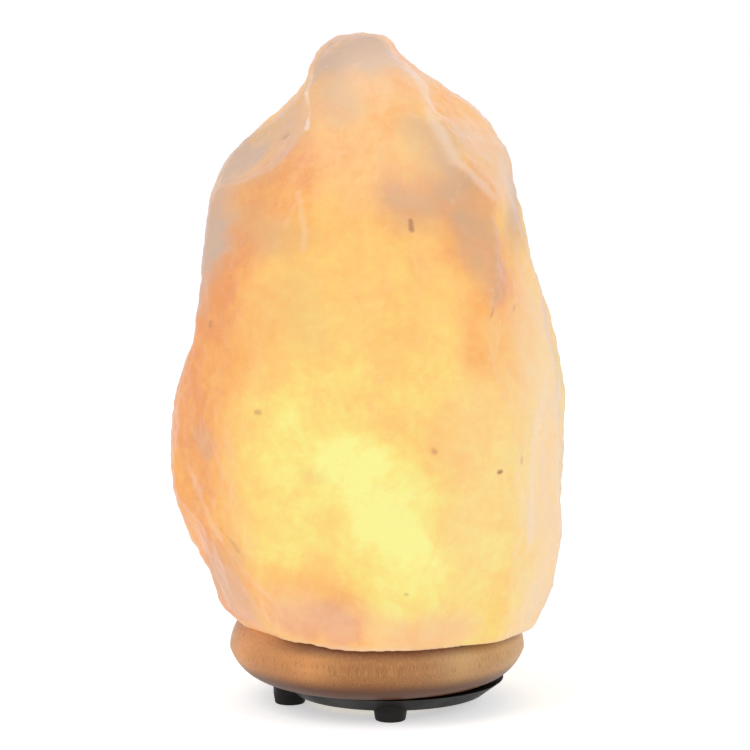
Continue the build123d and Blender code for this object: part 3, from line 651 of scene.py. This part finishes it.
def salt_material(settings):
    """Lit rock salt, coloured by the distance from the bulb as painted glow, with painted shade and
    highlight, clouds in the salt and its broken edges.
    """
    material, tree, shader = new_material(
        "Rock Salt",
        IOR=1.54,
        Sheen_Weight=settings.sheen,
        Sheen_Roughness=0.4,
        Sheen_Tint=settings.sheen_tint,
        Emission_Strength=1.0,
    )
    point = object_point(tree)
    clouded = shifted(tree, point, 26 * MM, 11 * MM)
    frayed = shifted(tree, point, 7 * MM, 1.3 * MM)
    away = vector_maths(tree, "DISTANCE", clouded, (0.0, 0.0, settings.glow_height))
    near, far = settings.glow_near, settings.glow_far
    reach = {"Value": away, "From Min": near, "From Max": far, "To Min": 0.80, "To Max": 0.27}
    glow = put(tree, "ShaderNodeMapRange", reach).outputs["Result"]
    glow = maths(tree, "ADD", glow, marks(tree, clouded, PAINTED_GLOW_MARKS))
    clouds = noise(tree, point, 30 * MM, 4.0, 0.6)
    glow = maths(tree, "ADD", glow, step(tree, clouds, 0.3, 0.7, -0.07, 0.07))
    wisps = noise(tree, point, 11 * MM, 5.0, 0.65, 0.4)
    glow = maths(tree, "ADD", glow, step(tree, wisps, 0.3, 0.7, -0.09, 0.09))
    flecks = noise(tree, point, 3.6 * MM, 3.0, 0.6)
    glow = maths(tree, "ADD", glow, step(tree, flecks, 0.3, 0.7, -0.04, 0.04), clamp=True)

    ramp = put(tree, "ShaderNodeValToRGB", {"Fac": glow})
    stops = (settings.ember, settings.orange, settings.amber, settings.honey, settings.yellow, settings.hot)
    elements = ramp.color_ramp.elements
    while len(elements) < len(stops):
        elements.new(0.5)
    for index, tone in enumerate(stops):
        elements[index].position = index / (len(stops) - 1)
        elements[index].color = tone
    salt = ramp.outputs["Color"]

    uneven = step(tree, wisps, 0.25, 0.75, 0.7, 1.3)
    # Clouds, mist and milk in the salt, with painted shade and painted rim reflection among them
    for rows, tone in (
        (CLOUD_AND_SHADE_MARKS, settings.cloud_and_shade),
        (MIST_SHADE_AND_RIM_MARKS, settings.mist_shade_and_rim),
        (MILK_AND_RIM_MARKS, settings.milk_and_rim),
    ):
        mask = maths(tree, "MULTIPLY", marks(tree, clouded, rows), uneven, clamp=True)
        salt = blend_colours(tree, mask, salt, tone)

    # Painted highlight: convex edges are made paler, on top of the pale lines along broken edges
    edge = put(tree, "ShaderNodeNewGeometry").outputs["Pointiness"]
    pale_edge_and_highlight = maths(tree, "MULTIPLY", marks(tree, frayed, RIDGE_AND_HIGHLIGHT_MARKS, "MAXIMUM"), uneven)
    pale_edge_and_highlight = maths(tree, "ADD", pale_edge_and_highlight, step(tree, edge, 0.51, 0.57, 0.0, 0.45), clamp=True)
    # Painted shade: concave places are darkened
    crease_shade = step(tree, edge, 0.49, 0.43, 0.0, 0.22)
    salt = blend_colours(tree, pale_edge_and_highlight, salt, settings.frost_and_highlight)
    salt = blend_colours(tree, crease_shade, salt, (0.62, 0.42, 0.30, 1), mode="MULTIPLY")

    cells = put(tree, "ShaderNodeTexVoronoi", {"Vector": frayed, "Scale": 1 / (17 * MM), "Randomness": 1.0})
    close = step(tree, cells.outputs["Distance"], 0.05, 0.13, 1.0, 0.0)
    chosen = put(tree, "ShaderNodeSeparateColor", {"Color": cells.outputs["Color"]}).outputs["Red"]
    depth = put(tree, "ShaderNodeSeparateXYZ", {"Vector": point}).outputs["Y"]
    behind = step(tree, depth, -16 * MM, 0.0, 0.0, 0.7)
    chosen = maths(tree, "MULTIPLY", step(tree, chosen, 0.60, 0.65), behind)
    specks = maths(tree, "MULTIPLY", close, chosen)
    specks = maths(tree, "ADD", specks, marks(tree, frayed, SPECK_MARKS), clamp=True)
    salt = blend_colours(tree, specks, salt, settings.speck)

    # Painted glow: the salt's colour goes into the emission in place of the bulb's light through the salt
    for part, socket in ((settings.day_share, "Base Color"), (settings.lit_share, "Emission Color")):
        shade = blend_colours(tree, 1.0, salt, (part, part, part, 1), mode="MULTIPLY")
        tree.links.new(shade, shader.inputs[socket])
    tree.links.new(step(tree, wisps, 0.3, 0.7, 0.34, 0.62), shader.inputs["Roughness"])
    grains, _ = grain(tree, 1.6 * MM, 9 * MM)
    uneven = maths(tree, "ADD", grains, maths(tree, "MULTIPLY", wisps, 1.5))
    add_bump(tree, shader, uneven, 0.5 * MM, 0.55)
    return material


# Painted light and shade on the wood, placed like the marks in the salt: painted shade under the salt's
# overhang and low in front, painted warm light from the salt's glow with a highlight on the left, and a
# painted highlight on the right
PAINTED_SHADE_MARKS = (((-2, -54, 22), (10, -54, 22), 26, 0.68), ((-40, -36, 12), (40, -36, 10), 22, 0.40))
GLOW_LIT_WOOD_MARKS = (((-48, -28, 26), (-32, -44, 26), 28, 0.80), ((-6, -54, 30), (10, -54, 30), 16, 0.30))
HIGHLIGHT_WOOD_MARKS = (((30, -46, 18), (50, -26, 22), 34, 0.85),)


def wood_material(settings):
    """Oiled turned beech: broad growth rings along a board and short rays that stand across it, with painted
    light and shade.
    """
    material, tree, shader = new_material("Turned Beech", Coat_Roughness=0.3, Specular_IOR_Level=0.2)
    point = object_point(tree)
    along = put(tree, "ShaderNodeMapping", {"Vector": point, "Scale": (0.35, 1.0, 1.6)}).outputs["Vector"]
    rings = put(
        tree,
        "ShaderNodeTexWave",
        {"Vector": along, "Scale": 28.0, "Distortion": 5.0, "Detail": 3.0, "Detail Scale": 1.2},
        bands_direction="Z",
    ).outputs["Fac"]
    fine = (1 / settings.fleck_width, 1 / settings.fleck_width, 1 / settings.fleck_length)
    rays = put(tree, "ShaderNodeMapping", {"Vector": point, "Scale": fine}).outputs["Vector"]
    flecks = put(tree, "ShaderNodeTexNoise", {"Vector": rays, "Scale": 1.0, "Detail": 2.0}).outputs["Fac"]
    patches = noise(tree, point, 26 * MM, 2.0)
    wood = settings.light
    for mask, tone in (
        (maths(tree, "MULTIPLY", rings, 0.4), settings.dark_and_shade),
        # Painted warm light from the salt's glow, with a painted highlight, on the left
        (marks(tree, point, GLOW_LIT_WOOD_MARKS), settings.red),
        # Painted highlight on the right
        (marks(tree, point, HIGHLIGHT_WOOD_MARKS), settings.yellow),
        # Painted shade under the salt's overhang and low in front
        (marks(tree, point, PAINTED_SHADE_MARKS), settings.dark_and_shade),
        (step(tree, patches, 0.35, 0.7, 0.0, 0.25), settings.dark_and_shade),
        (step(tree, flecks, 0.54, 0.72, 0.0, 0.50), settings.fleck),
        (step(tree, flecks, 0.46, 0.34, 0.0, 0.45), settings.light),
    ):
        wood = blend_colours(tree, mask, wood, tone)

    # Painted shade: the wood's top next to the salt, apart from its left, and its bottom next to the plate
    # are painted darker
    axes = put(tree, "ShaderNodeSeparateXYZ", {"Vector": point}).outputs
    top = step(tree, axes["Z"], WOOD_TOP - 6.5 * MM, WOOD_TOP - 1.5 * MM, 0.0, 0.85)
    top = maths(tree, "MULTIPLY", top, step(tree, axes["X"], -46 * MM, -24 * MM, 0.1, 1.0))
    bottom = step(tree, axes["Z"], WOOD_BOTTOM + 10 * MM, WOOD_BOTTOM + 4 * MM, 0.0, 0.95)
    wood = blend_colours(tree, maths(tree, "ADD", top, bottom), wood, settings.painted_edge_shade)
    tree.links.new(wood, shader.inputs["Base Color"])
    tree.links.new(step(tree, flecks, 0.3, 0.7, 0.36, 0.52), shader.inputs["Roughness"])
    tree.links.new(step(tree, patches, 0.3, 0.7, 0.05, 0.15), shader.inputs["Coat Weight"])
    add_bump(tree, shader, flecks, 0.12 * MM, 0.5)
    return material


def glass_material(name, clearness, rough):
    """Clear glass with faint waviness."""
    material, tree, shader = new_material(name, IOR=1.5, Transmission_Weight=clearness)
    grains, _ = grain(tree, 14 * MM, 30 * MM)
    tree.links.new(step(tree, grains, 0.2, 0.8, rough, rough + 0.03), shader.inputs["Roughness"])
    add_bump(tree, shader, grains, 0.1 * MM, 0.3)
    return material


def glowing_material(name, tone, strength):
    """Metal so hot that it glows, a little uneven along its length."""
    material, tree, shader = new_material(name, Emission_Strength=strength, Roughness=0.5)
    grains, _ = grain(tree, 0.8 * MM, 5 * MM)
    hot = blend_colours(tree, grains, dimmed(tone, 0.7), tone)
    tree.links.new(hot, shader.inputs["Base Color"])
    tree.links.new(hot, shader.inputs["Emission Color"])
    return material


def seen_directly(tree):
    """1 for what the camera sees, straight or through gloss and glass, and 0 for what lights the lamp."""
    path = put(tree, "ShaderNodeLightPath")
    seen = maths(tree, "MAXIMUM", path.outputs["Is Camera Ray"], path.outputs["Is Glossy Ray"])
    return maths(tree, "MAXIMUM", seen, path.outputs["Is Transmission Ray"])


# ---------------- operators
class SALTLAMP_OT_crystal(bpy.types.Operator):
    """Carve the rock salt crystal: lumps, scooped chips and pits on its outside, sound salt in its bore"""

    bl_idname = "saltlamp.crystal"
    bl_label = "Carve Crystal"

    def execute(self, context):
        settings = context.scene.salt_lamp.crystal
        piece = copy_of_node("salt_crystal", "carved_crystal")
        modify(piece, "REMESH", mode="VOXEL", voxel_size=settings.voxel, adaptivity=0.0)
        self.weigh_outside(piece, settings)
        for name, kind, size, depth, extra in (
            ("Lumps", "CLOUDS", settings.lump_size, settings.lump_depth, {"noise_depth": 1}),
            ("Scoops", "VORONOI", settings.scoop_size, settings.scoop_depth, {"distance_metric": "DISTANCE"}),
            ("Nicks", "CLOUDS", settings.nick_size, settings.nick_depth, {"noise_type": "HARD_NOISE"}),
            ("Pits", "CLOUDS", settings.pit_size, settings.pit_depth, {"noise_depth": 3}),
        ):
            texture = bpy.data.textures.new(name, kind)
            texture.noise_scale = size
            for key, value in extra.items():
                setattr(texture, key, value)
            values = {"texture_coords": "LOCAL", "mid_level": 0.5, "vertex_group": "outside"}
            modify(piece, "DISPLACE", texture=texture, strength=2 * depth, **values)
        points = read_points(piece)
        self.shape_flanks(points, settings)
        points[:, 2] = np.maximum(points[:, 2], WOOD_TOP)
        self.shape_rim(points, settings)
        write_points(piece, points)
        pick(piece)
        bpy.ops.object.shade_smooth()
        finish_piece(piece, "lamp", "rock_salt", salt_material(settings), "salt_crystal")
        return {"FINISHED"}

    def shape_flanks(self, points, settings):
        """Swell the left flank and its lobe, and dip the right flank in.

        Each row has its side, and where it sets in going outwards and going up, and ends going down.
        """
        x, z = points[:, 0] / MM, points[:, 2] / MM
        shift = 0
        for amount, side, across, rise, drop in (
            (settings.left_bulge, -1, (24, 60), (50, 80), (185, 160)),
            (settings.lobe, -1, (40, 62), (50, 75), (137, 130)),
            (settings.right_dip, 1, (30, 62), (68, 88), (132, 112)),
        ):
            shift += amount * fade(side * x, *across) * fade(z, *rise) * fade(z, *drop)
        points[:, 0] -= shift

    def shape_rim(self, points, settings):
        """Tuck the lower edge in at the left, and let it hang over the wood's rounded edge in front."""
        x, y, z = points.T
        radius = np.hypot(x, y)
        turn = np.arctan2(x, -y)
        low = fade(z, WOOD_TOP + 9 * MM, WOOD_TOP)
        front = fade(0.5 * x - 0.87 * y, 5 * MM, 40 * MM)

        # The edge's reach in each of 72 directions, from its outermost points, and how much it lacks
        edge = z < WOOD_TOP + 0.8 * MM
        turns = np.linspace(-pi, pi, 73)
        sector = np.digitize(turn[edge], turns)
        reach = np.array([radius[edge][sector == i].max() for i in range(1, len(turns))])
        middles = (turns[1:] + turns[:-1]) / 2
        lack = np.clip(settings.overhang - np.interp(turn, middles, reach, period=2 * pi), 0, 6 * MM)
        grown = radius + lack * low * front * fade(radius, 40 * MM, 49 * MM)
        points[:, :2] *= (grown / np.maximum(radius, 1 * MM))[:, None]

        # The lip hangs outside the wood's flat top, and the left edge is drawn in
        lip = low * front * fade(grown, 51.8 * MM, 54.5 * MM)
        points[:, 2] -= settings.lip * lip
        points[:, 0] += settings.tuck * low * fade(-points[:, 0], 34 * MM, 52 * MM)

    def weigh_outside(self, piece, settings):
        """Weights that keep the relief off the bore's wall and the flat underside."""
        points = read_points(piece)
        radius = np.hypot(points[:, 0], points[:, 1])
        from_bore = np.maximum(radius - BORE_RADIUS, points[:, 2] - BORE_TOP)
        from_wood = points[:, 2] - WOOD_TOP
        weight = fade(from_bore, 1 * MM, settings.skin) * fade(from_wood, 0.4 * MM, settings.skin)
        group = piece.vertex_groups.new(name="outside")
        for index, value in enumerate(weight):
            group.add([index], float(value), "REPLACE")


class SALTLAMP_OT_wooden_base(bpy.types.Operator):
    """Finish the turned wooden base"""

    bl_idname = "saltlamp.wooden_base"
    bl_label = "Finish Wooden Base"

    def execute(self, context):
        paint_nodes(wood_material(context.scene.salt_lamp.wood), "wooden_base")
        return {"FINISHED"}


class SALTLAMP_OT_plate_and_feet(bpy.types.Operator):
    """Finish the moulded plate, the rubber feet, the wall plugs and the cable bush"""

    bl_idname = "saltlamp.plate_and_feet"
    bl_label = "Finish Plate and Feet"

    def execute(self, context):
        trim = context.scene.salt_lamp.trim
        plate = plain_finish("Black Plastic", trim.plate, Specular_IOR_Level=0.25)
        rubber = plain_finish("Foot Rubber", trim.rubber, Specular_IOR_Level=0.3)
        paint_nodes(plate, "base_plate")
        paint_nodes(rubber, "foot_front", "foot_right", "foot_rear", "foot_left")
        paint_nodes(plain_finish("Bush Plastic", trim.bush), "cable_bush")
        paint_nodes(plain_finish("Grey Nylon", trim.nylon), "wall_plugs")
        return {"FINISHED"}


class SALTLAMP_OT_screws(bpy.types.Operator):
    """Sink a cross into the head of each wood screw"""

    bl_idname = "saltlamp.screws"
    bl_label = "Sink Screw Crosses"

    def execute(self, context):
        settings = context.scene.salt_lamp.screws
        zinc = plain_finish("Zinc Plate", context.scene.salt_lamp.trim.zinc, Metallic=1.0)
        cutter = self.model_cross(settings)
        for node, name, ring, turn in (
            ("foot_screws", "foot_screws_crossed", FOOT_RING, FOOT_TURN),
            ("crystal_screws", "crystal_screws_crossed", CRYSTAL_SCREW_RING, CRYSTAL_SCREW_TURN),
        ):
            piece = copy_of_node(node, name)
            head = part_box(node)[0].z
            for screw in range(SCREWS_IN_RING):
                angle = turn + screw * 2 * pi / SCREWS_IN_RING
                cutter.location = (ring * sin(angle), -ring * cos(angle), head)
                cutter.rotation_euler.z = angle * 3  # each screw was driven home to another turn
                context.view_layer.update()
                modify(piece, "BOOLEAN", operation="DIFFERENCE", solver="EXACT", object=cutter)
            smooth(piece)
            finish_piece(piece, "lamp", "zinc_screws", zinc, node)
        pick(cutter)
        bpy.ops.object.delete()
        return {"FINISHED"}

    def model_cross(self, settings):
        """A cross whose arms narrow upwards, its mouth at height 0."""
        arms = []
        for turn in (0, pi / 2):
            bpy.ops.object.select_all(action="DESELECT")
            bpy.ops.mesh.primitive_cube_add(size=1)
            arm = bpy.context.object
            arm.scale = (settings.cross_length, settings.cross_width, 2 * settings.cross_depth)
            bpy.ops.object.transform_apply(scale=True)
            for vertex in arm.data.vertices:
                if vertex.co.z > 0:
                    vertex.co.x *= settings.bottom_length
                    vertex.co.y *= settings.bottom_width
            arm.rotation_euler.z = turn
            bpy.ops.object.transform_apply(rotation=True)
            arms.append(arm)
        modify(arms[0], "BOOLEAN", operation="UNION", solver="EXACT", object=arms[1])
        pick(arms[1])
        bpy.ops.object.delete()
        return arms[0]


class SALTLAMP_OT_lampholder(bpy.types.Operator):
    """Roll the thread of the lampholder's shell, and finish the holder, its contacts and its spring clips"""

    bl_idname = "saltlamp.lampholder"
    bl_label = "Finish Lampholder"

    def execute(self, context):
        trim = context.scene.salt_lamp.trim
        brass = plain_finish("Contact Brass", trim.brass, Metallic=1.0)
        spring = plain_finish("Spring Steel", trim.spring, Metallic=1.0)
        paint_nodes(plain_finish("Holder Plastic", trim.holder), "holder_cap", "holder_skirt")
        paint_nodes(plain_finish("Unglazed Ceramic", trim.ceramic), "holder_insert")
        paint_nodes(brass, "centre_contact", "centre_terminal", "shell_terminal")
        paint_nodes(plain_finish("Terminal Screws", trim.zinc, Metallic=1.0), "terminal_screws")
        paint_nodes(spring, "spring_clip_left", "spring_clip_right", "clip_rivets")
        shell = copy_of_node("screw_shell", "rolled_shell")
        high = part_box("screw_shell")[1].z - SHELL_RIM
        roll_thread(shell, context.scene.salt_lamp.screws, high - SHELL_THREAD, high, SHELL_WALL)
        finish_piece(shell, "lampholder", "contact_brass", brass, "screw_shell")
        return {"FINISHED"}


class SALTLAMP_OT_bulb(bpy.types.Operator):
    """Roll the thread of the bulb's cap, fit the glass into it, and finish the screw bulb"""

    bl_idname = "saltlamp.bulb"
    bl_label = "Finish Bulb"

    def execute(self, context):
        trim = context.scene.salt_lamp.trim
        nickel = plain_finish("Nickelled Brass", trim.nickel, Metallic=1.0)
        vitrite = plain_finish("Cap Glass", trim.vitrite, rough_change=0.05)
        paint_nodes(plain_finish("Solder", trim.solder, Metallic=1.0), "cap_contact")
        paint_nodes(plain_finish("Lead Wire", trim.leads, Metallic=1.0), "lead_wires")
        paint_nodes(glowing_material("Hot Tungsten", trim.tungsten, 3.0), "filament")

        screws = context.scene.salt_lamp.screws
        low, high = (corner.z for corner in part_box("bulb_cap"))
        cap = copy_of_node("bulb_cap", "rolled_cap")
        roll_thread(cap, screws, low, high - CAP_RIM, CAP_WALL, mouth=CAP_MOUTH)
        finish_piece(cap, "bulb", "cap_nickel", nickel, "bulb_cap")
        insulator = copy_of_node("cap_insulator", "fitted_insulator")
        narrow(insulator, screws.insulator_share, low, low + CAP_MOUTH)
        finish_piece(insulator, "bulb", "cap_glass", vitrite, "cap_insulator")
        for node, name, slot, finish in (
            ("bulb_glass", "necked_glass", "bulb_glass", glass_material("Bulb Glass", 1.0, 0.02)),
            ("glass_stem", "fitted_stem", "stem_glass", glass_material("Stem Glass", 0.9, 0.08)),
        ):
            piece = copy_of_node(node, name)
            narrow(piece, screws.neck_share, high + NECK_START, high + NECK_END)
            smooth(piece)
            finish_piece(piece, "bulb", slot, finish, node)
        return {"FINISHED"}


class SALTLAMP_OT_stage(bpy.types.Operator):
    """Set up the pale floor, the soft lamps and the camera"""

    bl_idname = "saltlamp.stage"
    bl_label = "Set Up Stage"

    def execute(self, context):
        settings = context.scene.salt_lamp.stage
        context.scene.view_settings.view_transform = "Standard"
        self.add_floor(settings)
        self.light_sky(context.scene, settings)
        self.add_lamp("Key Lamp", settings.key_place, settings.key_power, settings.lamp_size)
        self.add_lamp("Fill Lamp", settings.fill_place, settings.fill_power, settings.lamp_size)
        self.add_camera(context.scene, settings)
        return {"FINISHED"}

    def add_floor(self, settings):
        """A pale floor that is white to the camera, keeps the lamp's shadow and is open from below."""
        bpy.ops.object.select_all(action="DESELECT")
        bpy.ops.mesh.primitive_plane_add(size=settings.floor_width, location=(0, 0, 0))
        floor = bpy.context.object
        floor.name = "floor"
        material, tree, shader = new_material("Pale Floor", Roughness=0.9)
        tree.nodes.remove(shader)
        output = next(n for n in tree.nodes if n.type == "OUTPUT_MATERIAL")
        matt = put(tree, "ShaderNodeBsdfDiffuse", {"Color": settings.floor}).outputs["BSDF"]
        lift = maths(tree, "MULTIPLY", seen_directly(tree), settings.lift)
        white = put(tree, "ShaderNodeEmission", {"Strength": lift})
        matt = put(tree, "ShaderNodeAddShader", {0: matt, 1: white.outputs["Emission"]}).outputs["Shader"]
        clear = put(tree, "ShaderNodeBsdfTransparent").outputs["BSDF"]
        back = put(tree, "ShaderNodeNewGeometry").outputs["Backfacing"]
        sided = put(tree, "ShaderNodeMixShader", {0: back, 1: matt, 2: clear}).outputs["Shader"]
        tree.links.new(sided, output.inputs["Surface"])
        floor.data.materials.append(material)

    def light_sky(self, scene, settings):
        """Even white light, and a white background for the camera, gloss and glass."""
        world = bpy.data.worlds.new("Studio")
        world.use_nodes = True
        tree = world.node_tree
        tree.nodes.clear()
        values = {"Value": seen_directly(tree), "To Min": settings.sky, "To Max": 1.0}
        strength = put(tree, "ShaderNodeMapRange", values).outputs["Result"]
        sky = put(tree, "ShaderNodeBackground", {"Color": (1, 1, 1, 1), "Strength": strength})
        put(tree, "ShaderNodeOutputWorld", {"Surface": sky.outputs["Background"]})
        scene.world = world

    def add_lamp(self, name, place, power, size):
        """A soft square lamp that faces the crystal's middle."""
        bpy.ops.object.select_all(action="DESELECT")
        bpy.ops.object.light_add(type="AREA", location=place)
        lamp = bpy.context.object
        lamp.name = name
        lamp.data.energy = power
        lamp.data.size = size
        way = CRYSTAL_MIDDLE - Vector(place)
        lamp.rotation_euler = way.to_track_quat("-Z", "Y").to_euler()

    def add_camera(self, scene, settings):
        """The camera at the photograph's height, distance and pitch."""
        bpy.ops.object.select_all(action="DESELECT")
        tilt = pi / 2 - settings.camera_pitch
        bpy.ops.object.camera_add(location=settings.camera_place, rotation=(tilt, 0, 0))
        camera = bpy.context.object
        camera.name = "Camera"
        camera.data.sensor_width = settings.sensor_width
        camera.data.lens = settings.camera_lens
        camera.data.clip_start = 0.05
        scene.camera = camera


class SALTLAMP_PT_panel(bpy.types.Panel):
    """Buttons and settings of the lamp"""

    bl_idname = "SALTLAMP_PT_panel"
    bl_label = "Salt Lamp"
    bl_space_type = "VIEW_3D"
    bl_region_type = "UI"
    bl_category = "Salt Lamp"

    def draw(self, context):
        for operator in OPERATORS:
            self.layout.operator(operator.bl_idname)
        for group in ("crystal", "wood", "trim", "screws", "stage"):
            settings = getattr(context.scene.salt_lamp, group)
            box = self.layout.box()
            for name in settings.__annotations__:
                box.prop(settings, name)


OPERATORS = (
    SALTLAMP_OT_crystal,
    SALTLAMP_OT_wooden_base,
    SALTLAMP_OT_plate_and_feet,
    SALTLAMP_OT_screws,
    SALTLAMP_OT_lampholder,
    SALTLAMP_OT_bulb,
    SALTLAMP_OT_stage,
)
SETTINGS = (CrystalSettings, WoodSettings, TrimSettings, ScrewSettings, StageSettings, SaltLampSettings)
CLASSES = (*SETTINGS, *OPERATORS, SALTLAMP_PT_panel)


def register():
    for each in CLASSES:
        bpy.utils.register_class(each)
    bpy.types.Scene.salt_lamp = PointerProperty(type=SaltLampSettings)


def unregister():
    del bpy.types.Scene.salt_lamp
    for each in reversed(CLASSES):
        bpy.utils.unregister_class(each)


def main():
    register()
    bpy.ops.saltlamp.crystal()
    bpy.ops.saltlamp.wooden_base()
    bpy.ops.saltlamp.plate_and_feet()
    bpy.ops.saltlamp.screws()
    bpy.ops.saltlamp.lampholder()
    bpy.ops.saltlamp.bulb()
    bpy.ops.saltlamp.stage()


if __name__ == "__main__":
    main()
